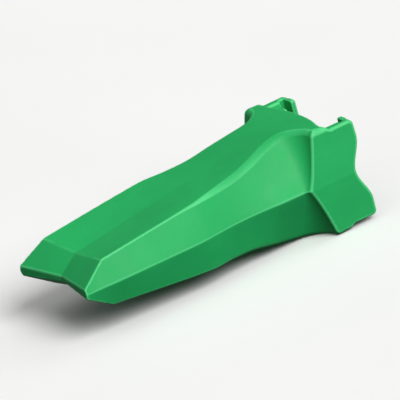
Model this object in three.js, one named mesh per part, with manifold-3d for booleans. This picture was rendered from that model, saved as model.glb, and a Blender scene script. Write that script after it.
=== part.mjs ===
// Excavator bucket tooth: one cast steel point that slides over an adapter nose, and the
// vertical key that locks it there, with the key's spring latch. Millimetres, +Z up.
// Origin: centre of the flat thrust face at the bottom of the nose socket. +X runs to the
// cutting edge, +Y to the ear that carries the key. The casting is the same above and below
// its middle plane, and left and right, so a worn tooth can be turned over.
// "Back" is the distance behind the corners of the cutting edge.
import * as THREE from 'three';
import { mergeVertices } from 'three/addons/utils/BufferGeometryUtils.js';
import Module from 'manifold-3d';

const wasm = await Module();
wasm.setup();

// ---- driving dimensions ----
const LENGTH = 300;            // cutting edge corners to the rear of the ears
const SOCKET_FLOOR = 145;      // back to the thrust face
const CLEARANCE = 0.3;         // between pieces that touch
const BEYOND = 80;             // cutters and drawn-out outlines run past the casting

// Cutting edge: a shallow V in plan, thinner in the middle than at its corners.
const TIP_HALF_WIDTH = 59;
const TIP_HALF_THICKNESS = 4.8;
const TIP_CENTRE_THICKNESS = 2.5;
const TIP_RECESS = 9.7;        // how far the middle of the edge lies behind its corners
const TIP_RIDGE_OUT = 0.8;     // the side ridge stands this far outside the corners
const TIP_CORNER_SHARE = 0.96; // the last part of the edge, where the corner's rounding starts

// Crease where the short front bevels meet the long faces.
const CREASE_BACK = 27;
const CREASE_VALLEY_BACK = 30;
const CREASE_HALF_WIDTH = 51.7;
const CREASE_HEIGHT = 22.3;
const CREASE_VALLEY_HEIGHT = 17.1;

// The valley down the middle of the upper face runs out where the flat rear face begins.
const VALLEY_END_EDGE = 130;
const VALLEY_END_CENTRE = 162;
const MEET_LEAST = 0.05;       // limits of the meeting line, as shares of the half width
const MEET_MOST = 0.8;

// Upper edge of the body behind the crease: [back, half width, height].
const EDGE_ROUND = 5;          // radius along that edge
const EDGE_STEPS = 4;
const UPPER_EDGE = [
  [VALLEY_END_EDGE, 50.8, 33.3],
  [157, 46.2, 35.2],
  [182, 41.8, 38.1],
  [200, 38.7, 42.2],
  [220, 33.2, 47.2],
  [240, 30.3, 50.6],
  [262, 32.0, 51.1],
];

// Ridge at mid height, where the side faces meet: [back, half width].
const SIDE_RIDGE = [
  [12, 59.9],
  [36, 61.0],
  [80, 61.2],
  [112, 61.2],
  [126, 60.6],
  [143, 58.0],
  [161, 55.4],
  [180, 54.6],
  [197, 55.4],
  [213, 57.2],
  [230, 57.7],
  [262, 58.0],
];

// Collar and ears at the back.
const BODY_END = 262;          // the body's skin ends here, inside the collar
const EAR_START = 225;         // and the collar's skin starts here, inside the body
const EAR_HALF_WIDTH = 62.3;   // at mid height
const EAR_EDGE_HALF_WIDTH = 60;
const EAR_TOP = 46.6;
const EAR_INNER = 50.5;        // inner face of the ear
const EAR_CORNER = 4;
const EAR_FRONT_LOW = 239.6;   // front edge of the ear at mid height
const EAR_FRONT_BEND = [247.5, 15];
const EAR_FRONT_HIGH = 256.8;  // and at the collar's top
const EAR_FRONT_ROUND = 1.6;
const EAR_LEVELS = [0, 0.15, 0.3, 0.45, 0.6, 0.75, 0.88, 1];
const WALL_ROUND_MIDDLE = 4;   // inside radius between the body's side and the ear, mid height
const WALL_ROUND_TOP = 22;     // and at the collar's top
const WALL_STEPS = 6;
const NOTCH_BACK = 289.6;      // middle of the notch in the ear's rear edge
const NOTCH_EDGE = [[292.6, 11.5], [297.2, 21], [LENGTH, 31]];
const COLLAR_TOP = 51.3;
const COLLAR_CREST_BACK = 259;
const COLLAR_REAR_HEIGHT = 48.6;
const COLLAR_ROUND = 6;        // along the collar's upper outer edge
const MOUTH_BACK_CENTRE = 280; // rear edge of the upper wall, on the middle plane
const MOUTH_BACK_SIDE = 272;   // and beside the ears

// Socket for the adapter nose: a six-sided taper.
const SOCKET_FLOOR_SIZE = { top: 22, height: 12.5, ridge: 34 };
const SOCKET_MOUTH_SIZE = { top: 28, height: 39, ridge: 49.5 };

// Lugs inside the ears, above and below, with the keyway through them.
const LUG_FRONT = 282;
const LUG_INNER = 40.5;
const LUG_FRONT_TOP = 41;      // top of the prong in front of the keyway
const LUG_REAR_TOP = 46.3;     // and of the prong behind it
const LUG_BOTTOM = 24;
const KEYWAY_BACK = 292;       // centre line of the keyway
const KEYWAY_WIDTH = 5.4;
const KEYWAY_FLOOR = 54;       // from the middle plane

// Lock key: a thin web that fills the keyway, and a thick head beside the lugs. The web is cut
// back between the lugs, where the notch in the ear's rear edge leaves the keyway open.
const WEB_HALF_HEIGHT = 36.5;
const WEB_RELIEF = { y: 50, halfHeight: 18.5 };
const HEAD_HALF_HEIGHT = 31;
const HEAD_INNER = 25;         // the head's inner face, from the middle plane
const HEAD_LENGTH = 14;
const PRY_NOTCH = { low: 19, high: 24, depth: 4 };
const LEAD_IN = 3;             // bevel on the key's ends

// Latch, in a pocket in the head's inner face, with a block of rubber behind it.
const POCKET_LENGTH = 9;
const POCKET_HALF_HEIGHT = 10;
const POCKET_FLOOR = 38.5;
const LATCH_OUT = 3.5;         // how far the latch stands out of the key
const LATCH_REAR = 31.5;
const LATCH_TRAVEL = 3;
const NOSE_HALF_HEIGHT = 4;
const NOSE_LENGTH = 4.5;
const SPRING_WAIST = 1.2;      // the rubber's sides are hollow, so that it can bulge
const STOP_PIN_RADIUS = 1.5;
const STOP_PIN_Y = 28;
const STOP_PIN_SEGMENTS = 24;

const materials = {
  casting: new THREE.MeshStandardMaterial({ color: 0x21a35a, roughness: 0.45, metalness: 0.0 }),
  key: new THREE.MeshStandardMaterial({ color: 0x6d7278, roughness: 0.5, metalness: 0.9 }),
  latch: new THREE.MeshStandardMaterial({ color: 0x8f949a, roughness: 0.4, metalness: 0.9 }),
  rubber: new THREE.MeshStandardMaterial({ color: 0x1c1c1c, roughness: 0.9, metalness: 0.0 }),
};

// ---- helpers ----
const { lerp, clamp, mapLinear } = THREE.MathUtils;
const xAt = (back) => SOCKET_FLOOR - back;
const acrossY = (p) => new THREE.Vector3(p.x, -p.y, p.z);
const acrossZ = (p) => new THREE.Vector3(p.x, p.y, -p.z);
const mirrorY = (solid) => solid.mirror([0, 1, 0]);
const mirrorZ = (solid) => solid.mirror([0, 0, 1]);

function toSolid(geometry) {
  const bare = geometry.clone();
  bare.deleteAttribute('normal');
  bare.deleteAttribute('uv');
  const merged = mergeVertices(bare, 1e-4);
  return new wasm.Manifold(new wasm.Mesh({
    numProp: 3,
    vertProperties: merged.attributes.position.array,
    triVerts: Uint32Array.from(merged.index.array),
  }));
}

function toMesh(name, solid, material) {
  const { vertProperties, triVerts } = solid.getMesh();
  const geometry = new THREE.BufferGeometry();
  geometry.setAttribute('position', new THREE.BufferAttribute(vertProperties, 3));
  geometry.setIndex(new THREE.BufferAttribute(triVerts, 1));
  geometry.computeVertexNormals();
  const mesh = new THREE.Mesh(geometry, material);
  mesh.name = name;
  return mesh;
}

function box(x0, x1, y0, y1, z0, z1) {
  const geometry = new THREE.BoxGeometry(x1 - x0, y1 - y0, z1 - z0);
  geometry.translate((x0 + x1) / 2, (y0 + y1) / 2, (z0 + z1) / 2);
  return toSolid(geometry);
}

function shapeFrom(points) {
  return new THREE.Shape(points.map(([u, v]) => new THREE.Vector2(u, v)));
}

function drawnOut(shape, depth) {
  return new THREE.ExtrudeGeometry(shape, { depth, bevelEnabled: false, curveSegments: 12 });
}

// A side-view outline of [x, z], drawn out along Y.
function sidePrism(shape, y0, y1) {
  const geometry = drawnOut(shape, y1 - y0);
  geometry.rotateX(Math.PI / 2);
  geometry.translate(0, y1, 0);
  return toSolid(geometry);
}

// A front-view outline of [y, z], drawn out along X.
function frontPrism(shape, x0, x1) {
  const geometry = drawnOut(shape, x1 - x0);
  geometry.rotateX(Math.PI / 2);
  geometry.rotateZ(Math.PI / 2);
  geometry.translate(x0, 0, 0);
  return toSolid(geometry);
}

// A plan outline of [x, y], drawn out along Z.
function planPrism(shape, z0, z1) {
  const geometry = drawnOut(shape, z1 - z0);
  geometry.translate(0, 0, z0);
  return toSolid(geometry);
}

// Smooth curve through one column of rows that start with the distance back.
function through(rows, column) {
  const at = rows.map((row) => row[0]);
  const values = rows.map((row) => row[column]);
  const curve = new THREE.CubicInterpolant(at, values, 1, new Float32Array(1));
  return (back) => curve.evaluate(clamp(back, at[0], at[at.length - 1]))[0];
}

// Skin over a row of rings. Each ring is a half outline, whose two ends lie on the mirror
// plane, and its mirror image. The end faces are strips from one half to the other.
function loft(halves, mirror) {
  const last = halves[0].length - 1;
  const size = 2 * last;
  const positions = [];
  for (const half of halves) {
    const mirrored = half.slice(1, last).reverse().map(mirror);
    for (const point of [...half, ...mirrored]) positions.push(point.x, point.y, point.z);
  }
  const triangles = [];
  for (let ring = 0; ring + 1 < halves.length; ring++) {
    for (let i = 0; i < size; i++) {
      const [a, b] = [ring * size + i, ring * size + (i + 1) % size];
      triangles.push([a, b, b + size], [a, b + size, a + size]);
    }
  }
  const cap = [[0, size - 1, 1], [last - 1, last + 1, last]];
  for (let i = 1; i + 1 < last; i++) cap.push([i, size - i, size - i - 1], [i, size - i - 1, i + 1]);
  const end = (halves.length - 1) * size;
  for (const [a, b, c] of cap) triangles.push([a, b, c], [end + a, end + c, end + b]);
  const geometry = new THREE.BufferGeometry();
  geometry.setAttribute('position', new THREE.Float32BufferAttribute(positions, 3));
  geometry.setIndex(triangles.flat());
  const solid = toSolid(geometry);
  if (solid.volume() > 0) return solid;
  geometry.setIndex(triangles.map(([a, b, c]) => [c, b, a]).flat());
  return toSolid(geometry);
}

// ---- body ----
const edgeWidth = through(UPPER_EDGE, 1);
const edgeHeight = through(UPPER_EDGE, 2);
const ridgeWidth = through(SIDE_RIDGE, 1);

// Upper edge corner of one cross section, before it is rounded.
function upperEdge(back) {
  if (back >= VALLEY_END_EDGE) return new THREE.Vector2(edgeWidth(back), edgeHeight(back));
  const crease = new THREE.Vector2(CREASE_HALF_WIDTH, CREASE_HEIGHT);
  const valleyEnd = new THREE.Vector2(UPPER_EDGE[0][1], UPPER_EDGE[0][2]);
  return crease.lerp(valleyEnd, (back - CREASE_BACK) / (VALLEY_END_EDGE - CREASE_BACK));
}

// Height on the middle plane: the valley's floor, or the flat face behind it.
function middleHeight(back) {
  if (back >= VALLEY_END_CENTRE) return edgeHeight(back);
  const along = (back - CREASE_VALLEY_BACK) / (VALLEY_END_CENTRE - CREASE_VALLEY_BACK);
  return lerp(CREASE_VALLEY_HEIGHT, edgeHeight(VALLEY_END_CENTRE), along);
}

// Quarter outline of one cross section, from the middle of the upper face out to the edge,
// round it, and down to the side ridge. The crease section is bent: its middle lies further back.
function quarter(back, backMiddle = back) {
  const corner = upperEdge(back);
  const middle = middleHeight(backMiddle);
  const ridge = ridgeWidth(back);
  // Share of the half width where the valley's slope meets the flat face behind it.
  const reach = (VALLEY_END_CENTRE - back) / (VALLEY_END_CENTRE - VALLEY_END_EDGE);
  const meet = clamp(reach, MEET_LEAST, MEET_MOST);
  const onSlope = reach >= 1;
  const meetHeight = onSlope ? lerp(middle, corner.y, meet) : corner.y;
  const inward = new THREE.Vector2(-corner.x, onSlope ? middle - corner.y : 0).normalize();
  const down = new THREE.Vector2(ridge - corner.x, -corner.y).normalize();
  const half = inward.angleTo(down) / 2;
  const centre = inward.clone().add(down).setLength(EDGE_ROUND / Math.sin(half)).add(corner);
  const from = inward.clone().setLength(EDGE_ROUND / Math.tan(half)).add(corner).sub(centre).angle();
  const to = down.clone().setLength(EDGE_ROUND / Math.tan(half)).add(corner).sub(centre).angle();
  const points = [
    new THREE.Vector3(xAt(backMiddle), 0, middle),
    new THREE.Vector3(xAt(lerp(backMiddle, back, meet)), meet * corner.x, meetHeight),
  ];
  for (let i = 0; i <= EDGE_STEPS; i++) {
    const turn = lerp(from, to > Math.PI ? to - 2 * Math.PI : to, i / EDGE_STEPS);
    const out = new THREE.Vector2(EDGE_ROUND, 0).rotateAround(new THREE.Vector2(), turn).add(centre);
    points.push(new THREE.Vector3(xAt(back), out.x, out.y));
  }
  points.push(new THREE.Vector3(xAt(back), ridge, 0));
  return points;
}

// The cutting edge's quarter outline, with as many points as the others.
function tipQuarter() {
  const shares = [0, MEET_MOST];
  for (let i = 0; i <= EDGE_STEPS; i++) shares.push(lerp(TIP_CORNER_SHARE, 1, i / EDGE_STEPS));
  const points = shares.map((share) => new THREE.Vector3(
    xAt(TIP_RECESS * (1 - share)),
    TIP_HALF_WIDTH * share,
    lerp(TIP_CENTRE_THICKNESS, TIP_HALF_THICKNESS, share)));
  points.push(new THREE.Vector3(xAt(0), TIP_HALF_WIDTH + TIP_RIDGE_OUT, 0));
  return points;
}

// Upper outline of one cross section, from the far ridge over the top to the near ridge.
function upperHalf(points) {
  const far = points.slice(1).reverse().map(acrossY);
  return [...far, ...points];
}

function makeBody() {
  const quarters = [tipQuarter(), quarter(CREASE_BACK, CREASE_VALLEY_BACK)];
  for (let back = 40; back < VALLEY_END_EDGE; back += 15) quarters.push(quarter(back));
  for (let back = VALLEY_END_EDGE; back <= BODY_END; back += 6) quarters.push(quarter(back));
  return loft(quarters.map(upperHalf), acrossZ);
}

// ---- collar and ears ----
// Half width of the body's side at one distance back and height.
function bodySide(back, height) {
  const side = quarter(back).slice(2).reverse();
  for (let i = 0; i + 1 < side.length; i++) {
    const [low, high] = [side[i], side[i + 1]];
    if (height <= high.z) return mapLinear(height, low.z, high.z, low.y, high.y);
  }
  return side[side.length - 1].y;
}

// The ear's front edge in side view, [back, height]: steep at mid height, then upright.
const earFront = new THREE.QuadraticBezierCurve(
  new THREE.Vector2(EAR_FRONT_LOW, 0),
  new THREE.Vector2(...EAR_FRONT_BEND),
  new THREE.Vector2(EAR_FRONT_HIGH, COLLAR_TOP));

// Plan outline at one point of that edge: from the body's side round the hollow wall, and
// back along the ear's outer face.
function planHalf({ x: front, y: height }) {
  const outer = lerp(EAR_HALF_WIDTH, EAR_EDGE_HALF_WIDTH, height / EAR_TOP);
  const level = Math.min(height, COLLAR_TOP - EDGE_ROUND / 3);
  const round = lerp(WALL_ROUND_MIDDLE, WALL_ROUND_TOP, height / COLLAR_TOP);
  const step = outer - EAR_FRONT_ROUND - bodySide(front - round * 0.8, level);
  const turn = Math.acos(Math.max(0, 1 - step / round));
  const begin = front - round * Math.sin(turn);
  const inner = bodySide(begin, level);
  const points = [[EAR_START, 0], [EAR_START, inner * 0.8]];
  for (let i = 0; i <= WALL_STEPS; i++) {
    const angle = turn * i / WALL_STEPS;
    points.push([begin + round * Math.sin(angle), inner + round * (1 - Math.cos(angle))]);
  }
  points.push([front + 0.3, outer - EAR_FRONT_ROUND * 0.7], [front + EAR_FRONT_ROUND, outer]);
  points.push([LENGTH, outer], [LENGTH, 0]);
  return points.map(([back, y]) => new THREE.Vector3(xAt(back), y, height));
}

function collarSkin() {
  const upper = EAR_LEVELS.map((share) => planHalf(earFront.getPoint(share)));
  const lower = upper.slice(1).reverse().map((ring) => ring.map(acrossZ));
  return loft([...lower, ...upper], acrossY);
}

// Side view of the collar and the ears, with the notch in the ears' rear edge.
function collarSideView() {
  const upper = [];
  for (let back = EAR_START; back < COLLAR_CREST_BACK; back += 4) {
    upper.push([back, edgeHeight(back) - 0.1]);
  }
  upper.push([COLLAR_CREST_BACK, COLLAR_TOP], [MOUTH_BACK_CENTRE, COLLAR_REAR_HEIGHT]);
  upper.push([LENGTH - EAR_CORNER, COLLAR_REAR_HEIGHT]);
  upper.push([LENGTH - EAR_CORNER * 0.3, EAR_TOP - EAR_CORNER * 0.3], [LENGTH, EAR_TOP - EAR_CORNER]);
  const flip = ([back, z]) => [back, -z];
  const notch = [...NOTCH_EDGE].reverse();
  const turns = [...notch, [NOTCH_BACK, 0], ...NOTCH_EDGE.map(flip)];
  const spline = new THREE.SplineCurve(turns.map(([back, z]) => new THREE.Vector2(back, z)));
  const rear = spline.getPoints(18).map((p) => [p.x, p.y]);
  const outline = [...upper, ...rear, ...upper.map(flip).reverse()];
  return shapeFrom(outline.map(([back, z]) => [xAt(back), z]));
}

// Front view that rounds the collar's upper and lower outer edges.
function collarFrontView() {
  const [y, z] = [EAR_EDGE_HALF_WIDTH - COLLAR_ROUND, COLLAR_TOP - COLLAR_ROUND];
  const shape = new THREE.Shape();
  shape.moveTo(BEYOND, 0);
  shape.lineTo(BEYOND, z - COLLAR_ROUND);
  shape.absarc(y, z, COLLAR_ROUND, 0, Math.PI / 2);
  shape.absarc(-y, z, COLLAR_ROUND, Math.PI / 2, Math.PI);
  shape.lineTo(-BEYOND, z - COLLAR_ROUND);
  shape.lineTo(-BEYOND, COLLAR_ROUND - z);
  shape.absarc(-y, -z, COLLAR_ROUND, Math.PI, Math.PI * 1.5);
  shape.absarc(y, -z, COLLAR_ROUND, Math.PI * 1.5, Math.PI * 2);
  shape.lineTo(BEYOND, COLLAR_ROUND - z);
  return shape;
}

function makeCollar() {
  const sideView = sidePrism(collarSideView(), -BEYOND, BEYOND);
  const frontView = frontPrism(collarFrontView(), xAt(LENGTH + 10), xAt(EAR_START - 10));
  const aboveEar = box(xAt(LENGTH + 10), xAt(MOUTH_BACK_SIDE), EAR_INNER, BEYOND, EAR_TOP, BEYOND);
  let collar = collarSkin().intersect(sideView).intersect(frontView);
  for (const cut of [aboveEar, mirrorY(aboveEar)]) {
    collar = collar.subtract(cut).subtract(mirrorZ(cut));
  }
  return collar;
}

// ---- hollows, lugs and keyways ----
// Everything behind the upper and lower walls, between the ears.
function openRear() {
  const bulge = 2 * MOUTH_BACK_CENTRE - MOUTH_BACK_SIDE;
  const shape = new THREE.Shape();
  shape.moveTo(xAt(MOUTH_BACK_SIDE), EAR_INNER);
  shape.quadraticCurveTo(xAt(bulge), 0, xAt(MOUTH_BACK_SIDE), -EAR_INNER);
  shape.lineTo(xAt(LENGTH + 10), -EAR_INNER);
  shape.lineTo(xAt(LENGTH + 10), EAR_INNER);
  return planPrism(shape, -BEYOND, BEYOND);
}

function socketHalf(back) {
  const along = (back - SOCKET_FLOOR) / (MOUTH_BACK_CENTRE - SOCKET_FLOOR);
  const size = (key) => lerp(SOCKET_FLOOR_SIZE[key], SOCKET_MOUTH_SIZE[key], along);
  return upperHalf([
    new THREE.Vector3(xAt(back), 0, size('height')),
    new THREE.Vector3(xAt(back), size('top'), size('height')),
    new THREE.Vector3(xAt(back), size('ridge'), 0),
  ]);
}

function makeSocket() {
  return loft([socketHalf(SOCKET_FLOOR), socketHalf(MOUTH_BACK_CENTRE + 4)], acrossZ);
}

function makeLug() {
  const rear = LENGTH - CLEARANCE;
  const sideView = [
    [LUG_FRONT, LUG_BOTTOM], [rear - 2, LUG_BOTTOM], [rear, 31], [rear, LUG_REAR_TOP - 4],
    [rear - 3, LUG_REAR_TOP], [KEYWAY_BACK, LUG_REAR_TOP], [KEYWAY_BACK, LUG_FRONT_TOP],
    [LUG_FRONT + 2, LUG_FRONT_TOP], [LUG_FRONT, LUG_FRONT_TOP - 2],
  ];
  return sidePrism(shapeFrom(sideView.map(([back, z]) => [xAt(back), z])), LUG_INNER, EAR_INNER + 1);
}

const keyX = xAt(KEYWAY_BACK);

function makeKeyway() {
  const half = KEYWAY_WIDTH / 2;
  return box(keyX - half, keyX + half, LUG_INNER - 5, KEYWAY_FLOOR, -BEYOND, BEYOND);
}

function makeToothPoint() {
  let tooth = makeBody().add(makeCollar()).subtract(openRear()).subtract(makeSocket());
  for (const lug of [makeLug(), mirrorY(makeLug())]) tooth = tooth.add(lug).add(mirrorZ(lug));
  return tooth.subtract(makeKeyway()).subtract(mirrorY(makeKeyway()));
}

// ---- lock ----
// A bar's front view, with bevelled upper and lower ends.
function barView(y0, y1, halfHeight) {
  return shapeFrom([
    [y0, -halfHeight + LEAD_IN], [y0 + LEAD_IN, -halfHeight], [y1 - LEAD_IN, -halfHeight],
    [y1, -halfHeight + LEAD_IN], [y1, halfHeight - LEAD_IN], [y1 - LEAD_IN, halfHeight],
    [y0 + LEAD_IN, halfHeight], [y0, halfHeight - LEAD_IN],
  ]);
}

function crossPin(radius, length) {
  const geometry = new THREE.CylinderGeometry(radius, radius, length, STOP_PIN_SEGMENTS);
  geometry.rotateZ(Math.PI / 2);
  geometry.translate(keyX, STOP_PIN_Y, 0);
  return toSolid(geometry);
}

function makeKey() {
  const thick = KEYWAY_WIDTH / 2 - CLEARANCE;
  const webView = barView(LUG_INNER - 8, KEYWAY_FLOOR - CLEARANCE, WEB_HALF_HEIGHT);
  const headView = barView(HEAD_INNER, LUG_INNER - CLEARANCE, HEAD_HALF_HEIGHT);
  const web = frontPrism(webView, keyX - thick, keyX + thick);
  const head = frontPrism(headView, keyX - HEAD_LENGTH / 2, keyX + HEAD_LENGTH / 2);
  const pocket = box(keyX - POCKET_LENGTH / 2, keyX + POCKET_LENGTH / 2,
    HEAD_INNER - 1, POCKET_FLOOR, -POCKET_HALF_HEIGHT, POCKET_HALF_HEIGHT);
  const notch = box(keyX - HEAD_LENGTH, keyX + HEAD_LENGTH,
    HEAD_INNER - 1, HEAD_INNER + PRY_NOTCH.depth, PRY_NOTCH.low, PRY_NOTCH.high);
  const relief = box(keyX - HEAD_LENGTH, keyX + HEAD_LENGTH,
    WEB_RELIEF.y, BEYOND, -WEB_RELIEF.halfHeight, WEB_RELIEF.halfHeight);
  const bore = crossPin(STOP_PIN_RADIUS + CLEARANCE, HEAD_LENGTH + 2);
  return web.add(head).subtract(relief).subtract(pocket).subtract(notch).subtract(bore);
}

const latchHalfLength = POCKET_LENGTH / 2 - CLEARANCE;
const latchHalfHeight = POCKET_HALF_HEIGHT - CLEARANCE;

// The nose is sloped above and below, so the key can be driven in and out. The slot rides on the
// stop pin: at rest the pin is at the slot's rear end.
function makeLatch() {
  const tip = HEAD_INNER - LATCH_OUT;
  const shape = shapeFrom([
    [tip, -NOSE_HALF_HEIGHT], [tip + NOSE_LENGTH, -latchHalfHeight], [LATCH_REAR, -latchHalfHeight],
    [LATCH_REAR, latchHalfHeight], [tip + NOSE_LENGTH, latchHalfHeight], [tip, NOSE_HALF_HEIGHT],
  ]);
  const radius = STOP_PIN_RADIUS + CLEARANCE;
  const slot = new THREE.Path();
  slot.absarc(STOP_PIN_Y, 0, radius, -Math.PI / 2, Math.PI / 2);
  slot.absarc(STOP_PIN_Y - LATCH_TRAVEL, 0, radius, Math.PI / 2, Math.PI * 1.5);
  shape.holes.push(slot);
  return frontPrism(shape, keyX - latchHalfLength, keyX + latchHalfLength);
}

function makeSpring() {
  const [front, rear] = [LATCH_REAR + CLEARANCE, POCKET_FLOOR - CLEARANCE];
  const middle = (front + rear) / 2;
  const shape = new THREE.Shape();
  shape.moveTo(front, -latchHalfHeight);
  shape.quadraticCurveTo(middle, -latchHalfHeight + 2 * SPRING_WAIST, rear, -latchHalfHeight);
  shape.lineTo(rear, latchHalfHeight);
  shape.quadraticCurveTo(middle, latchHalfHeight - 2 * SPRING_WAIST, front, latchHalfHeight);
  return frontPrism(shape, keyX - latchHalfLength, keyX + latchHalfLength);
}

export default new THREE.Group().add(
  toMesh('tooth_point', makeToothPoint(), materials.casting),
  toMesh('lock_key', makeKey(), materials.key),
  toMesh('lock_latch', makeLatch(), materials.latch),
  toMesh('latch_spring', makeSpring(), materials.rubber),
  toMesh('latch_stop_pin', crossPin(STOP_PIN_RADIUS, HEAD_LENGTH - 2 * CLEARANCE), materials.latch),
);
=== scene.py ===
"""Excavator bucket tooth with its lock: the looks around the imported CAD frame.

The casting is one smooth skin, meshed here from a distance field that follows the CAD
casting's own dimensions and adds what a flat-faced solid leaves out: the cast radii, the
swept wall in front of each ear and the rounded rims. The lock's pieces are the CAD ones
with broken edges, and the rubber block is moulded. Shape work is in millimetres.
"""

import math

import bmesh
import bpy
import numpy as np
from mathutils import Matrix, Vector


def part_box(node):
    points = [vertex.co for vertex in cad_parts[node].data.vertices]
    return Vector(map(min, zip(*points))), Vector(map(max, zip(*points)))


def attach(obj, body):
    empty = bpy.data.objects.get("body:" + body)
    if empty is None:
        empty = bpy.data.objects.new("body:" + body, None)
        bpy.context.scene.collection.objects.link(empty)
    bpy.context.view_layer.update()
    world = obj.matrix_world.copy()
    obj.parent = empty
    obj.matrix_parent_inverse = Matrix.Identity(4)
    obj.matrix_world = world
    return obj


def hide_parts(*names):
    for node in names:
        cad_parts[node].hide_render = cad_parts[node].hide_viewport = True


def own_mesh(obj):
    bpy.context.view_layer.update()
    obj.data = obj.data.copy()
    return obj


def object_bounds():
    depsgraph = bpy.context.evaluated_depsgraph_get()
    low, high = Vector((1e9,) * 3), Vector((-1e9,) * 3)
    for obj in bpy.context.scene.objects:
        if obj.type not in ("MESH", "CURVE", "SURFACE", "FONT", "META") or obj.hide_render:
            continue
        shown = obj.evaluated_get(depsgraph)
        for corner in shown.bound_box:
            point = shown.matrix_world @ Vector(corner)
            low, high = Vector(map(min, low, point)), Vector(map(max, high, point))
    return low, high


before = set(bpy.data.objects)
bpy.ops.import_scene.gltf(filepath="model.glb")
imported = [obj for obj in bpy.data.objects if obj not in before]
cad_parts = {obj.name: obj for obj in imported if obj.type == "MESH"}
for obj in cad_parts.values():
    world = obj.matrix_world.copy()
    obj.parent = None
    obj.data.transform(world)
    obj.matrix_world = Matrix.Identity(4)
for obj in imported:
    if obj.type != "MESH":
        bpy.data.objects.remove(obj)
cad_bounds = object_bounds()

MM = 0.001

# ---- the casting's driving dimensions, mm; "back" is behind the cutting edge's corners ----
casting_low, casting_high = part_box("tooth_point")
FRONT_X = casting_high.x / MM                    # x of the cutting edge's corners
LENGTH = (casting_high.x - casting_low.x) / MM
SOCKET_FLOOR = FRONT_X                           # the frame's origin is the thrust face
EAR_HALF_WIDTH = casting_high.y / MM
TOP = casting_high.z / MM

TIP_HALF_WIDTH, TIP_HALF_THICKNESS = 59.0, 4.8
TIP_CENTRE_THICKNESS, TIP_RECESS = 2.5, 9.7
CREASE_BACK, CREASE_HALF_WIDTH, CREASE_HEIGHT = 27.0, 51.7, 22.3
CREASE_VALLEY_BACK, CREASE_VALLEY_HEIGHT = 30.0, 17.1
VALLEY_END_EDGE, VALLEY_END_CENTRE = 130.0, 162.0
VALLEY_FLATTENS = 0.00025                        # fall of the valley's cross slope per mm
VALLEY_LIFT = 0.15                               # past its end it climbs clear of the rear face
VALLEY_FLOOR_ROUND = 0.8

# Upper edge of the body behind the valley's end: [back, half width, height].
UPPER_EDGE = [
    (130, 50.8, 33.3), (157, 46.2, 35.2), (182, 41.8, 38.1), (200, 38.7, 42.2),
    (220, 33.2, 47.2), (240, 30.3, 50.7), (259, 32.0, 51.3),
]
# Side ridge at mid height: [back, half width].
SIDE_RIDGE = [
    (0, 59.8), (12, 59.9), (36, 61.0), (80, 61.2), (112, 61.2), (126, 60.6), (143, 58.0),
    (161, 55.4), (180, 54.6), (197, 55.4), (213, 57.2), (230, 57.7), (262, 58.0),
]
# Crown of the collar: [back, height]. It steps down to the ear's top just behind the mouth.
CROWN = [(259, 51.3), (268, 50.6), (276, 49.3), (284, 47.5)]
STEP_BEHIND_MOUTH, STEP_SLANT, STEP_HALF_LENGTH = 1.0, 3.0, 3.0
COLLAR_REAR = 279.5
EAR_TOP, EAR_TOP_HALF_WIDTH, EAR_INNER = 46.6, 60.0, 50.5
EAR_FRONT = [(239.6, 0.0), (247.5, 15.0), (256.8, 51.3)]   # quadratic curve, [back, height]
NOTCH_BACK, NOTCH_HEIGHT = 289.6, 31.0
MOUTH_SWEEP = 9.0                                # how much further forward the rim is at the ears
SOCKET_TOP_WIDTH, SOCKET_TOP_GROWTH = 22.0, 6.0
SOCKET_HEIGHT, SOCKET_HEIGHT_GROWTH = 12.5, 26.5
SOCKET_RIDGE, SOCKET_RIDGE_GROWTH = 34.0, 15.5
LUG_FRONT, LUG_REAR, LUG_INNER, LUG_OUTER = 282.0, 299.7, 40.5, 51.5
LUG_BOTTOM, LUG_FRONT_TOP, LUG_REAR_TOP = 24.0, 41.0, 46.3
KEYWAY_BACK, KEYWAY_HALF, KEYWAY_FLOOR = 292.0, 2.7, 54.0
KEYWAY_CORNER, KEYWAY_PAST_LUG = 0.5, 6.0        # and how far the slot is cut past the lug

# The ear's outer face is led clear of the body in front of it.
EAR_FACE_START, EAR_FACE_BLEND, CLEAR_OF_BODY = 232.0, 15.0, 8.0

# Cast radii. The inside one between the body's side and the ear grows with height.
WALL_ROUND_MIDDLE, WALL_ROUND_TOP = 4.0, 22.0
COLLAR_ROUND, COLLAR_CORNER, EAR_EDGE_ROUND, EAR_CORNER, EAR_TOP_ROUND = 4.5, 5.5, 1.8, 4.5, 2.2
UPPER_EDGE_ROUND, TIP_ROUND, CREASE_ROUND, VALLEY_END_ROUND, RIDGE_ROUND = 5.5, 0.9, 1.0, 0.4, 0.8
RIM_ROUND, MOUTH_CORNER, SOCKET_CORNER, LUG_ROUND, KEYWAY_RIM = 2.0, 8.0, 4.0, 2.0, 0.8
# Where one radius along the upper edge gives way to the next: [start, length of the change].
BODY_ROUND_GROWS, COLLAR_ROUND_STARTS, EAR_ROUND_STARTS = (100, 80), (225, 30), (262, 20)
COLLAR_CORNER_STARTS = (EAR_INNER, 6)            # outwards, along y

# The fields of curved and sloping faces grow faster than distance, so they are scaled down.
REAR_TOP_SCALE, EAR_FRONT_SCALE = 0.98, 0.95
BEVEL_REACH = 1.05                               # the front bevel is ruled past its corners

CELL = 1.4                                       # spacing of the skin's mesh
SKIN_MARGIN = 2.5                                # the grid reaches this far past the CAD box
PROBE = 0.05                                     # step for the field's slope
EDGE_PROBE = 0.7                                 # step for how sharply the skin bends
LEAST_SLOPE, LEAST_SLOPE_SQUARED = 1e-6, 0.2     # keep the divisions by the slope safe
EVENING = 0.5                                    # share of the way to the neighbours' middle


# ---- field helpers: negative inside, lengths in mm ----
def both(a, b, r):
    """Inside both, with the outside corner rounded to radius r."""
    return np.minimum(-r, np.maximum(a, b)) + np.hypot(np.maximum(r + a, 0), np.maximum(r + b, 0))


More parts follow.
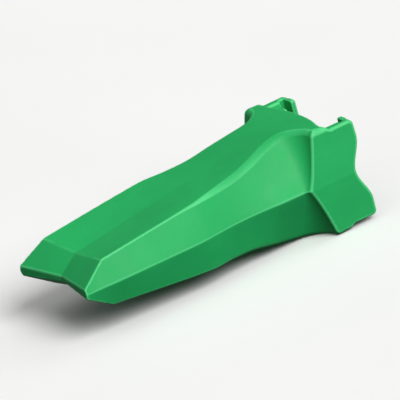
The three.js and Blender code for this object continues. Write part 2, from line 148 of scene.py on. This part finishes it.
def either(a, b, r):
    """Inside either, with the inside corner filled to radius r."""
    return np.maximum(r, np.minimum(a, b)) - np.hypot(np.maximum(r - a, 0), np.maximum(r - b, 0))


def lerp(a, b, t):
    return a + (b - a) * t


def ease(t):
    t = np.clip(t, 0, 1)
    return t * t * (3 - 2 * t)


def eased_in(at, change):
    """From 0 to 1 over a change given as [start, length]."""
    start, length = change
    return ease((at - start) / length)


def through(points, at, start_slope=None):
    """Smooth curve through [place, value] points, straight beyond its ends."""
    x, y = np.array(points, float).T
    slope = np.gradient(y, x)
    if start_slope is not None:
        slope[0] = start_slope
    i = np.clip(np.searchsorted(x, at) - 1, 0, len(x) - 2)
    h = x[i + 1] - x[i]
    t = np.clip((at - x[i]) / h, 0, 1)
    curve = ((2 * t**3 - 3 * t**2 + 1) * y[i] + (t**3 - 2 * t**2 + t) * h * slope[i]
             + (3 * t**2 - 2 * t**3) * y[i + 1] + (t**3 - t**2) * h * slope[i + 1])
    return curve + np.minimum(at - x[0], 0) * slope[0] + np.maximum(at - x[-1], 0) * slope[-1]


def edge_half_width(back):
    slope = (UPPER_EDGE[0][1] - CREASE_HALF_WIDTH) / (VALLEY_END_EDGE - CREASE_BACK)
    rear = through([(b, w) for b, w, _ in UPPER_EDGE], back, slope)
    front = lerp(TIP_HALF_WIDTH, CREASE_HALF_WIDTH, np.clip(back / CREASE_BACK, 0, 1))
    return np.where(back < CREASE_BACK, front, rear)


def edge_height(back):
    slope = (UPPER_EDGE[0][2] - CREASE_HEIGHT) / (VALLEY_END_EDGE - CREASE_BACK)
    rear = through([(b, z) for b, _, z in UPPER_EDGE], back, slope)
    front = lerp(TIP_HALF_THICKNESS, CREASE_HEIGHT, back / CREASE_BACK)
    return np.where(back < CREASE_BACK, front, rear)


# ---- the casting's faces ----
def bevel(back, y, z):
    """Short front face, ruled from the cutting edge to the crease."""
    half_width = lerp(TIP_HALF_WIDTH, CREASE_HALF_WIDTH, np.clip(back / CREASE_BACK, 0, 1))
    f = np.clip(y / half_width, 0, BEVEL_REACH)
    b0 = TIP_RECESS * (1 - f)
    b1 = lerp(CREASE_VALLEY_BACK, CREASE_BACK, f)
    z0 = lerp(TIP_CENTRE_THICKNESS, TIP_HALF_THICKNESS, f)
    z1 = lerp(CREASE_VALLEY_HEIGHT, CREASE_HEIGHT, f)
    slope = (z1 - z0) / (b1 - b0)
    return (z - z0 - slope * (back - b0)) / np.sqrt(1 + slope**2)


def valley(back, y, z):
    """Long face, a shallow V across that rises to the rear."""
    climb = edge_height(VALLEY_END_CENTRE) - CREASE_VALLEY_HEIGHT
    rise = climb / (VALLEY_END_CENTRE - CREASE_VALLEY_BACK)
    floor = CREASE_VALLEY_HEIGHT + rise * (back - CREASE_VALLEY_BACK)
    floor = floor + VALLEY_LIFT * np.maximum(back - VALLEY_END_CENTRE, 0)
    along = np.clip(back, CREASE_BACK, VALLEY_END_EDGE)
    cross = edge_height(along) - CREASE_VALLEY_HEIGHT - rise * (along - CREASE_VALLEY_BACK)
    cross = cross / edge_half_width(along)
    cross = cross - VALLEY_FLATTENS * np.maximum(back - VALLEY_END_EDGE, 0)
    across = np.hypot(y, VALLEY_FLOOR_ROUND)
    return (z - floor - cross * across) / np.sqrt(1 + rise**2 + cross**2)


def mouth_rim(y):
    """Rear edge of the upper wall: an arc that sweeps forward towards the ears."""
    return COLLAR_REAR - MOUTH_SWEEP * np.minimum(1, y / EAR_INNER) ** 2


def rear_top(back, y, z):
    """Flat rear face that climbs to the collar, then the collar's crown and the ear's top."""
    crown = np.where(back < CROWN[0][0], edge_height(back), through(CROWN, back, 0.0))
    outward = np.clip((y - EAR_INNER) / (EAR_TOP_HALF_WIDTH - EAR_INNER), 0, 1)
    step = mouth_rim(y) + STEP_BEHIND_MOUTH + STEP_SLANT * outward
    height = lerp(crown, EAR_TOP, ease((back - step + STEP_HALF_LENGTH) / (2 * STEP_HALF_LENGTH)))
    return (z - height) * REAR_TOP_SCALE


def side(back, y, z):
    """Upper and lower side faces, which meet in the ridge at mid height."""
    top, ridge, height = edge_half_width(back), through(SIDE_RIDGE, back), edge_height(back)
    slope = (top - ridge) / height
    level = np.hypot(z, RIDGE_ROUND) - RIDGE_ROUND
    return (y - ridge - slope * level) / np.sqrt(1 + slope**2)


def ear_front(back, z):
    """Front of the ear: the curve's height is quadratic in t, so t follows from the height."""
    (b0, _), (b1, z1), (b2, z2) = EAR_FRONT
    q = z2 - 2 * z1
    t = (np.sqrt(z1**2 + q * z) - z1) / q
    return (b0 * (1 - t)**2 + 2 * b1 * t * (1 - t) + b2 * t**2 - back) * EAR_FRONT_SCALE


def notched_rear(back, z):
    """Rear of the ear, notched at mid height."""
    return back - lerp(NOTCH_BACK, LENGTH, ease(z / NOTCH_HEIGHT))


def socket(back, y, z):
    """The space for the adapter's nose: a six-sided taper."""
    t = (back - SOCKET_FLOOR) / (COLLAR_REAR - SOCKET_FLOOR)
    top = SOCKET_TOP_WIDTH + SOCKET_TOP_GROWTH * t
    height = SOCKET_HEIGHT + SOCKET_HEIGHT_GROWTH * t
    ridge = SOCKET_RIDGE + SOCKET_RIDGE_GROWTH * t
    slant = ((y - ridge) * height + z * (ridge - top)) / np.hypot(height, ridge - top)
    walls = both(z - height, slant, SOCKET_CORNER)
    return both(walls, SOCKET_FLOOR - back, SOCKET_CORNER)


def rounded_box(place, low, high, r):
    """Box between two corners, its edges rounded to radius r."""
    low, high = np.array(low, float), np.array(high, float)
    q = [np.abs(p - (a + b) / 2) - (b - a) / 2 + r for p, a, b in zip(place, low, high)]
    outside = np.sqrt(sum(np.maximum(c, 0) ** 2 for c in q))
    return outside + np.minimum(np.maximum.reduce(q), 0) - r


def casting_field(x, y, z):
    """The whole casting. It is the same above and below, and left and right."""
    back, y, z = FRONT_X - x, np.abs(y), np.abs(z)
    top = both(valley(back, y, z), rear_top(back, y, z), VALLEY_END_ROUND)
    top = both(top, bevel(back, y, z), CREASE_ROUND)
    wall_round = lerp(WALL_ROUND_MIDDLE, WALL_ROUND_TOP, z / TOP)
    walls = either(side(back, y, z), ear_front(back, z), wall_round)
    outer = y - lerp(EAR_HALF_WIDTH, EAR_TOP_HALF_WIDTH, z / EAR_TOP)
    outer = outer - CLEAR_OF_BODY * ease((EAR_FACE_START - back) / EAR_FACE_BLEND)
    walls = both(walls, outer, EAR_EDGE_ROUND)
    edge_round = lerp(TIP_ROUND, UPPER_EDGE_ROUND, eased_in(back, BODY_ROUND_GROWS))
    collar_round = lerp(COLLAR_ROUND, COLLAR_CORNER, eased_in(y, COLLAR_CORNER_STARTS))
    edge_round = lerp(edge_round, collar_round, eased_in(back, COLLAR_ROUND_STARTS))
    edge_round = lerp(edge_round, EAR_TOP_ROUND, eased_in(back, EAR_ROUND_STARTS))
    top = both(top, notched_rear(back, z), EAR_CORNER)
    solid = both(top, walls, edge_round)
    front = TIP_RECESS * (1 - y / TIP_HALF_WIDTH) - back
    front = front / math.hypot(1, TIP_RECESS / TIP_HALF_WIDTH)
    solid = both(solid, front, TIP_ROUND)
    opening = both(mouth_rim(y) - back, y - EAR_INNER, MOUTH_CORNER)
    solid = both(solid, -opening, RIM_ROUND)
    solid = both(solid, -socket(back, y, z), RIM_ROUND)
    prongs = (LUG_FRONT, KEYWAY_BACK, LUG_FRONT_TOP), (KEYWAY_BACK, LUG_REAR, LUG_REAR_TOP)
    for first, last, lug_top in prongs:
        low, high = (first, LUG_INNER, LUG_BOTTOM), (last, LUG_OUTER, lug_top)
        solid = np.minimum(solid, rounded_box((back, y, z), low, high, LUG_ROUND))
    keyway = both(np.abs(back - KEYWAY_BACK) - KEYWAY_HALF, y - KEYWAY_FLOOR, KEYWAY_CORNER)
    keyway = both(keyway, LUG_INNER - KEYWAY_PAST_LUG - y, KEYWAY_CORNER)
    return both(solid, -keyway, KEYWAY_RIM)


# ---- meshing a field ----
def slope_of(field, p):
    """The field's gradient at each place."""
    parts = []
    for axis in range(3):
        d = np.zeros(3)
        d[axis] = PROBE
        parts.append((field(*(p + d).T) - field(*(p - d).T)) / (2 * PROBE))
    return np.stack(parts, 1)


def onto_surface(field, p, rounds=3):
    """Moves each place along the gradient to where the field is zero."""
    for _ in range(rounds):
        g = slope_of(field, p)
        p = p - g * (field(*p.T) / np.maximum((g**2).sum(1), LEAST_SLOPE_SQUARED))[:, None]
    return p


def surface_net(field, low, high, cell):
    """Vertices and quads of the surface where the field is zero: one vertex in each grid cell
    that the surface passes through, and one quad for each grid edge that it cuts."""
    axes = [np.arange(a, b + cell, cell) for a, b in zip(low, high)]
    values = field(*np.meshgrid(*axes, indexing="ij"))
    inside = values < 0
    corners = [(i, j, k) for i in (0, 1) for j in (0, 1) for k in (0, 1)]
    shape = [n - 1 for n in values.shape]

    def corner(grid, c):
        return grid[c[0]:c[0] + shape[0], c[1]:c[1] + shape[1], c[2]:c[2] + shape[2]]

    count = sum(corner(inside, c).astype(np.int8) for c in corners)
    active = (count > 0) & (count < 8)
    cells = np.argwhere(active)
    index = np.full(shape, -1)
    index[active] = np.arange(len(cells))
    total, crossings = np.zeros((len(cells), 3)), np.zeros(len(cells))
    value_at = {c: corner(values, c)[active] for c in corners}
    for c in corners:
        for axis in range(3):
            if c[axis]:
                continue
            other = tuple(v + (n == axis) for n, v in enumerate(c))
            a, b = value_at[c], value_at[other]
            cut = (a < 0) != (b < 0)
            place = np.tile(np.array(c, float), (len(cells), 1))
            place[:, axis] = a / np.where(cut, a - b, 1)
            total += place * cut[:, None]
            crossings += cut
    vertices = np.array(low) + (cells + total / crossings[:, None]) * cell
    quads = []
    for axis in range(3):
        u, v = [n for n in range(3) if n != axis]
        first = [slice(None)] * 3
        second = [slice(None)] * 3
        first[axis], second[axis] = slice(None, -1), slice(1, None)
        cut = np.argwhere(inside[tuple(first)] != inside[tuple(second)])
        cut = cut[(cut[:, u] > 0) & (cut[:, v] > 0)]
        ring = []
        for du, dv in ((1, 1), (0, 1), (0, 0), (1, 0)):
            place = cut.copy()
            place[:, u] -= du
            place[:, v] -= dv
            ring.append(index[tuple(place.T)])
        ring = np.stack(ring, 1)
        start_inside = inside[tuple(cut.T)]
        flip = start_inside if axis == 1 else ~start_inside
        ring[flip] = ring[flip][:, ::-1]
        quads.append(ring)
    return vertices, np.concatenate(quads)


def relax(field, p, quads, rounds=4):
    """Evens the spacing of the vertices and keeps them on the surface."""
    neighbours = np.zeros(len(p))
    for n in range(4):
        np.add.at(neighbours, quads[:, n], 2)
    for _ in range(rounds):
        total = np.zeros_like(p)
        for n in range(4):
            np.add.at(total, quads[:, n], p[quads[:, n - 1]] + p[quads[:, (n + 1) % 4]])
        p = onto_surface(field, p + EVENING * (total / neighbours[:, None] - p), 1)
    return onto_surface(field, p, 2)


def facing(field, p):
    """The skin's outward direction at each place."""
    g = slope_of(field, p)
    return g / np.maximum(np.linalg.norm(g, axis=1), LEAST_SLOPE)[:, None]


def bend_of(field, p):
    """How sharply the skin bends: above 0 on outside edges, below 0 in hollows, in 1/mm."""
    bend = np.zeros(len(p))
    for axis in range(3):
        d = np.zeros(3)
        d[axis] = EDGE_PROBE
        bend += (facing(field, p + d) - facing(field, p - d))[:, axis] / (2 * EDGE_PROBE)
    return bend


def new_mesh(name, vertices, faces):
    mesh = bpy.data.meshes.new(name)
    mesh.from_pydata([tuple(v) for v in vertices], [], [tuple(int(i) for i in f) for f in faces])
    mesh.validate()
    mesh.update()
    return mesh


def add_piece(name, mesh):
    piece = bpy.data.objects.new(name, mesh)
    bpy.context.scene.collection.objects.link(piece)
    return piece


def skin_piece(name, field, low, high, cell):
    """A piece whose skin is the field's surface, smooth shaded by the field's own slope."""
    vertices, quads = surface_net(field, low, high, cell)
    vertices = relax(field, onto_surface(field, vertices), quads)
    mesh = new_mesh(name, vertices * MM, quads)
    mesh.shade_smooth()
    mesh.normals_split_custom_set_from_vertices([tuple(n) for n in facing(field, vertices)])
    bend = mesh.attributes.new("edge_bend", "FLOAT", "POINT")
    bend.data.foreach_set("value", bend_of(field, vertices).astype(np.float32))
    return add_piece(name, mesh)


casting = skin_piece("tooth_casting", casting_field, np.array(casting_low) / MM - SKIN_MARGIN,
                     np.array(casting_high) / MM + SKIN_MARGIN, CELL)
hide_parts("tooth_point")
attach(casting, "casting")


# ---- the lock's pieces: the CAD shapes with their edges broken ----
WELD = 1e-6                                      # corners closer than this are one, m
FLAT, SHARP, SHADE_SHARP = (math.radians(a) for a in (0.5, 25, 40))


def broken_edges(name, node, width):
    """The CAD node's solid with a small round along each sharp edge."""
    bm = bmesh.new()
    bm.from_mesh(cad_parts[node].data)
    bmesh.ops.remove_doubles(bm, verts=bm.verts, dist=WELD)
    bmesh.ops.dissolve_limit(bm, angle_limit=FLAT, verts=bm.verts, edges=bm.edges)
    edges = [e for e in bm.edges if e.is_manifold and e.calc_face_angle() > SHARP]
    bmesh.ops.bevel(bm, geom=edges, offset=width, offset_type="OFFSET", segments=2, profile=0.5,
                    affect="EDGES", clamp_overlap=True)
    bmesh.ops.triangulate(bm, faces=[f for f in bm.faces if len(f.verts) > 4])
    mesh = bpy.data.meshes.new(name)
    bm.to_mesh(mesh)
    bm.free()
    mesh.shade_smooth()
    mesh.set_sharp_from_angle(angle=SHADE_SHARP)
    return add_piece(name, mesh)


for name, node, body, slot, width in (
        ("key_body", "lock_key", "key", "key_steel", 0.5 * MM),
        ("latch_block", "lock_latch", "latch", "latch_steel", 0.35 * MM),
        ("stop_pin", "latch_stop_pin", "key", "latch_steel", 0.25 * MM)):
    piece = broken_edges(name, node, width)
    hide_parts(node)
    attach(piece, body)

spring_low, spring_high = (np.array(corner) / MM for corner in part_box("latch_spring"))
SPRING_ROUND, SPRING_CELL, SPRING_MARGIN = 0.8, 0.35, 1.0
SPRING_WAIST = 2.4                               # depth of the hollow above and below


def spring_field(x, y, z):
    """Block of rubber whose top and bottom are hollow, so that it has room to bulge."""
    block = rounded_box((x, y, z), spring_low, spring_high, SPRING_ROUND)
    half_depth = (spring_high[1] - spring_low[1]) / 2
    radius = (half_depth**2 + SPRING_WAIST**2) / (2 * SPRING_WAIST)
    middle = (spring_high[1] + spring_low[1]) / 2
    groove = np.hypot(y - middle, np.abs(z) - spring_high[2] - radius + SPRING_WAIST) - radius
    return both(block, -groove, SPRING_ROUND)


spring = skin_piece("rubber_block", spring_field, spring_low - SPRING_MARGIN,
                    spring_high + SPRING_MARGIN, SPRING_CELL)
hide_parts("latch_spring")
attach(spring, "key")
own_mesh(spring)


# ---- materials ----
# The pale edge colour is part worn paint and part painted highlight.
PAINT, PAINT_EDGE_WEAR_AND_HIGHLIGHT = (22, 174, 92), (90, 222, 140)
# How far "edge_bend" goes from none to full effect, and how strong the full effect is. The paler
# outside edges are part wear and part painted highlight. The darker hollows are painted shade.
EDGE_BEND, EDGE_WEAR_AND_HIGHLIGHT = (0.08, 0.20), 0.55
HOLLOW_BEND, HOLLOW_PAINTED_SHADE = (-0.04, -0.25), 0.4


def srgb(r, g, b):
    """Linear colour from an sRGB one given as 0 to 255."""
    def lin(c):
        c = c / 255
        return c / 12.92 if c <= 0.04045 else ((c + 0.055) / 1.055) ** 2.4
    return (lin(r), lin(g), lin(b), 1.0)


def shade(colour, factor):
    """The colour made lighter or darker by the factor."""
    return tuple(c * factor for c in colour[:3]) + (1.0,)


class Material:
    """A material whose colour, roughness and bump come from textures fixed to the object."""

    MIX_A, MIX_B, MIX_RESULT = 6, 7, 2           # a mix node's colour sockets, by number

    def __init__(self, name):
        self.material = bpy.data.materials.new(name)
        self.material.use_nodes = True
        self.nodes = self.material.node_tree.nodes
        self.shader = self.nodes["Principled BSDF"]
        self.place = self.nodes.new("ShaderNodeTexCoord").outputs["Object"]
        self.normal = None

    def link(self, a, b):
        self.material.node_tree.links.new(a, b)

    def noise(self, scale, detail=3.0, roughness=0.5, stretch=(1, 1, 1)):
        mapping = self.nodes.new("ShaderNodeMapping")
        mapping.inputs["Scale"].default_value = stretch
        self.link(self.place, mapping.inputs["Vector"])
        texture = self.nodes.new("ShaderNodeTexNoise")
        texture.inputs["Scale"].default_value = scale
        texture.inputs["Detail"].default_value = detail
        texture.inputs["Roughness"].default_value = roughness
        self.link(mapping.outputs["Vector"], texture.inputs["Vector"])
        return texture.outputs["Fac"]

    def attribute(self, name):
        node = self.nodes.new("ShaderNodeAttribute")
        node.attribute_name = name
        return node.outputs["Fac"]

    def ranged(self, value, source, target):
        """The value mapped from one [low, high] range to another, and kept inside it."""
        node = self.nodes.new("ShaderNodeMapRange")
        for name, number in zip(("From Min", "From Max", "To Min", "To Max"), source + target):
            node.inputs[name].default_value = number
        self.link(value, node.inputs["Value"])
        return node.outputs["Result"]

    def ramp(self, value, stops):
        """Colour from a value, by [position, colour] stops."""
        node = self.nodes.new("ShaderNodeValToRGB")
        elements = node.color_ramp.elements
        while len(elements) < len(stops):
            elements.new(0.5)
        for element, (position, colour) in zip(elements, stops):
            element.position = position
            element.color = colour
        self.link(value, node.inputs["Fac"])
        return node.outputs["Color"]

    def mixed(self, factor, colour, other):
        """The other colour laid over the first by the factor."""
        node = self.nodes.new("ShaderNodeMix")
        node.data_type = "RGBA"
        self.link(factor, node.inputs["Factor"])
        self.link(colour, node.inputs[self.MIX_A])
        node.inputs[self.MIX_B].default_value = other
        return node.outputs[self.MIX_RESULT]

    def bump(self, height, distance):
        """Lays one more bump, its distance in metres, over those before it."""
        node = self.nodes.new("ShaderNodeBump")
        node.inputs["Distance"].default_value = distance
        node.inputs["Strength"].default_value = 1.0
        self.link(height, node.inputs["Height"])
        if self.normal:
            self.link(self.normal, node.inputs["Normal"])
        self.normal = node.outputs["Normal"]
        self.link(self.normal, self.shader.inputs["Normal"])


def casting_paint():
    """Satin green paint over sand-cast steel: mottled a little, paler along the edges (part wear,
    part painted highlight), darker in the hollows (painted shade).
    """
    m = Material("casting_paint")
    base = srgb(*PAINT)
    colour = m.ramp(m.noise(14, 4), [(0.3, shade(base, 0.93)), (0.7, shade(base, 1.06))])
    specks = m.ranged(m.noise(420), (0.35, 0.7), (0.0, 0.16))
    colour = m.mixed(specks, colour, shade(base, 0.78))
    # Outside edges made paler: part paint wear, part painted highlight along the fillets.
    edges = m.ranged(m.attribute("edge_bend"), EDGE_BEND, (0.0, EDGE_WEAR_AND_HIGHLIGHT))
    colour = m.mixed(edges, colour, srgb(*PAINT_EDGE_WEAR_AND_HIGHLIGHT))
    # Hollows made darker: painted shade in the concave corners.
    hollows = m.ranged(m.attribute("edge_bend"), HOLLOW_BEND, (0.0, HOLLOW_PAINTED_SHADE))
    colour = m.mixed(hollows, colour, shade(base, 0.62))
    m.link(colour, m.shader.inputs["Base Color"])
    m.link(m.ranged(m.noise(55, 4), (0.3, 0.7), (0.58, 0.70)), m.shader.inputs["Roughness"])
    m.shader.inputs["Specular IOR Level"].default_value = 0.5
    m.bump(m.noise(38), 0.35 * MM)
    m.bump(m.noise(520, 4, 0.6), 0.06 * MM)
    return m.material


def steel(name, dark, light, roughness, stretch):
    """Bare steel between two colours, its grain drawn out by the stretch and marked by scale."""
    m = Material(name)
    grain = m.noise(900, 4, 0.6, stretch)
    colour = m.ramp(grain, [(0.3, dark), (0.7, light)])
    scale_marks = m.ranged(m.noise(130, 5, 0.65), (0.5, 0.72), (0.0, 0.6))
    m.link(m.mixed(scale_marks, colour, shade(dark, 0.55)), m.shader.inputs["Base Color"])
    m.shader.inputs["Metallic"].default_value = 1.0
    worn = m.ranged(m.noise(260, 4), (0.3, 0.7), (roughness - 0.08, roughness + 0.12))
    m.link(worn, m.shader.inputs["Roughness"])
    m.bump(grain, 0.04 * MM)
    m.bump(m.noise(160), 0.12 * MM)
    return m.material


def rubber():
    """Matt black moulded rubber."""
    m = Material("spring_rubber")
    colour = m.ramp(m.noise(700), [(0.3, srgb(22, 22, 23)), (0.7, srgb(40, 40, 41))])
    m.link(colour, m.shader.inputs["Base Color"])
    m.link(m.ranged(m.noise(300), (0.3, 0.7), (0.68, 0.85)), m.shader.inputs["Roughness"])
    m.bump(m.noise(1500), 0.04 * MM)
    return m.material


ALONG_Y, ALONG_Z = (1, 0.1, 1), (1, 1, 0.08)     # stretch of a steel's grain
finishes = {
    "casting_paint": casting_paint(),
    "key_steel": steel("key_steel", srgb(128, 130, 133), srgb(172, 173, 176), 0.42, ALONG_Z),
    "latch_steel": steel("latch_steel", srgb(170, 171, 173), srgb(208, 208, 210), 0.32, ALONG_Y),
    "spring_rubber": rubber(),
}
for piece, finish in (("tooth_casting", "casting_paint"), ("key_body", "key_steel"),
                      ("latch_block", "latch_steel"), ("stop_pin", "latch_steel"),
                      ("rubber_block", "spring_rubber")):
    bpy.data.objects[piece].data.materials.clear()
    bpy.data.objects[piece].data.materials.append(finishes[finish])

# ---- camera: from the key's side, a little to the front and above, through a long lens ----
VIEW_RIGHT = Vector((-0.8284, 0.5008, -0.2509))
VIEW_UP = Vector((-0.3845, -0.1823, 0.9048))
VIEW_CENTRE = Vector((-16.7, 0.3, 13.1)) * MM
VIEW_WIDTH, CAMERA_DISTANCE = 0.3575, 15.0       # m

camera_data = bpy.data.cameras.new("camera")
camera_data.lens = camera_data.sensor_width * CAMERA_DISTANCE / VIEW_WIDTH
camera = bpy.data.objects.new("camera", camera_data)
bpy.context.scene.collection.objects.link(camera)
right = VIEW_RIGHT.normalized()
toward = right.cross(VIEW_UP).normalized()
up = toward.cross(right)
turn = Matrix((right, up, toward)).transposed().to_4x4()
camera.matrix_world = Matrix.Translation(VIEW_CENTRE + toward * CAMERA_DISTANCE) @ turn
bpy.context.scene.camera = camera

# ---- floor, sky and lights ----
FLOOR_SIZE, FLOOR_GAP = 60.0, 0.0002             # m
floor_z = cad_bounds[0][2] - FLOOR_GAP
bm = bmesh.new()
bmesh.ops.create_grid(bm, x_segments=2, y_segments=2, size=FLOOR_SIZE / 2,
                      matrix=Matrix.Translation((0, 0, floor_z)))
floor_mesh = bpy.data.meshes.new("floor")
bm.to_mesh(floor_mesh)
bm.free()
floor = add_piece("floor", floor_mesh)
plain = Material("floor")
plain.link(plain.ramp(plain.noise(3), [(0.3, srgb(249, 249, 248)), (0.7, srgb(252, 252, 251))]),
           plain.shader.inputs["Base Color"])
plain.shader.inputs["Roughness"].default_value = 0.9
plain.shader.inputs["Specular IOR Level"].default_value = 0.0
floor_mesh.materials.append(plain.material)
floor.visible_diffuse = False
floor.visible_glossy = False

world = bpy.data.worlds.new("studio")
bpy.context.scene.world = world
world.use_nodes = True
world_nodes, world_links = world.node_tree.nodes, world.node_tree.links
SKY_ABOVE, SKY_BELOW = 0.15, 0.01                # what lights the object
SKY_REFLECTED, SKY_SEEN = 0.15, 0.92             # in glossy surfaces, and by the camera
sky = world_nodes["Background"]
sky.inputs["Color"].default_value = (1, 1, 1, 1)
direction = world_nodes.new("ShaderNodeSeparateXYZ")
brightness = world_nodes.new("ShaderNodeMapRange")
brightness.inputs["From Min"].default_value = -1.0
brightness.inputs["To Min"].default_value = SKY_BELOW
brightness.inputs["To Max"].default_value = SKY_ABOVE
world_links.new(world_nodes.new("ShaderNodeTexCoord").outputs["Generated"], direction.inputs[0])
world_links.new(direction.outputs["Z"], brightness.inputs["Value"])
world_links.new(brightness.outputs["Result"], sky.inputs["Strength"])
light_path = world_nodes.new("ShaderNodeLightPath")
result = sky.outputs["Background"]
for ray, strength in (("Is Glossy Ray", SKY_REFLECTED), ("Is Camera Ray", SKY_SEEN)):
    even = world_nodes.new("ShaderNodeBackground")
    even.inputs["Color"].default_value = (1, 1, 1, 1)
    even.inputs["Strength"].default_value = strength
    chosen = world_nodes.new("ShaderNodeMixShader")
    world_links.new(light_path.outputs[ray], chosen.inputs[0])
    world_links.new(result, chosen.inputs[1])
    world_links.new(even.outputs["Background"], chosen.inputs[2])
    result = chosen.outputs["Shader"]
world_links.new(result, world_nodes["World Output"].inputs["Surface"])


def soft_light(name, azimuth, elevation, strength, spread):
    """Sunlight from one direction. The azimuth turns from +X towards +Y, the elevation rises
    from the floor and the spread is the sun's own width, all in degrees."""
    data = bpy.data.lights.new(name, "SUN")
    data.energy = strength
    data.angle = math.radians(spread)
    light = bpy.data.objects.new(name, data)
    a, e = math.radians(azimuth), math.radians(elevation)
    toward_light = Vector((math.cos(e) * math.cos(a), math.cos(e) * math.sin(a), math.sin(e)))
    light.rotation_mode = "QUATERNION"
    light.rotation_quaternion = toward_light.to_track_quat("Z", "Y")
    light.location = toward_light
    bpy.context.scene.collection.objects.link(light)


soft_light("key", 95, 38, 3.05, 35)
soft_light("front_fill", 30, 50, 0.3, 50)
soft_light("rear_fill", 160, 30, 0.5, 50)
soft_light("top_fill", 0, 85, 0.25, 60)
bpy.context.scene.view_settings.view_transform = "Standard"
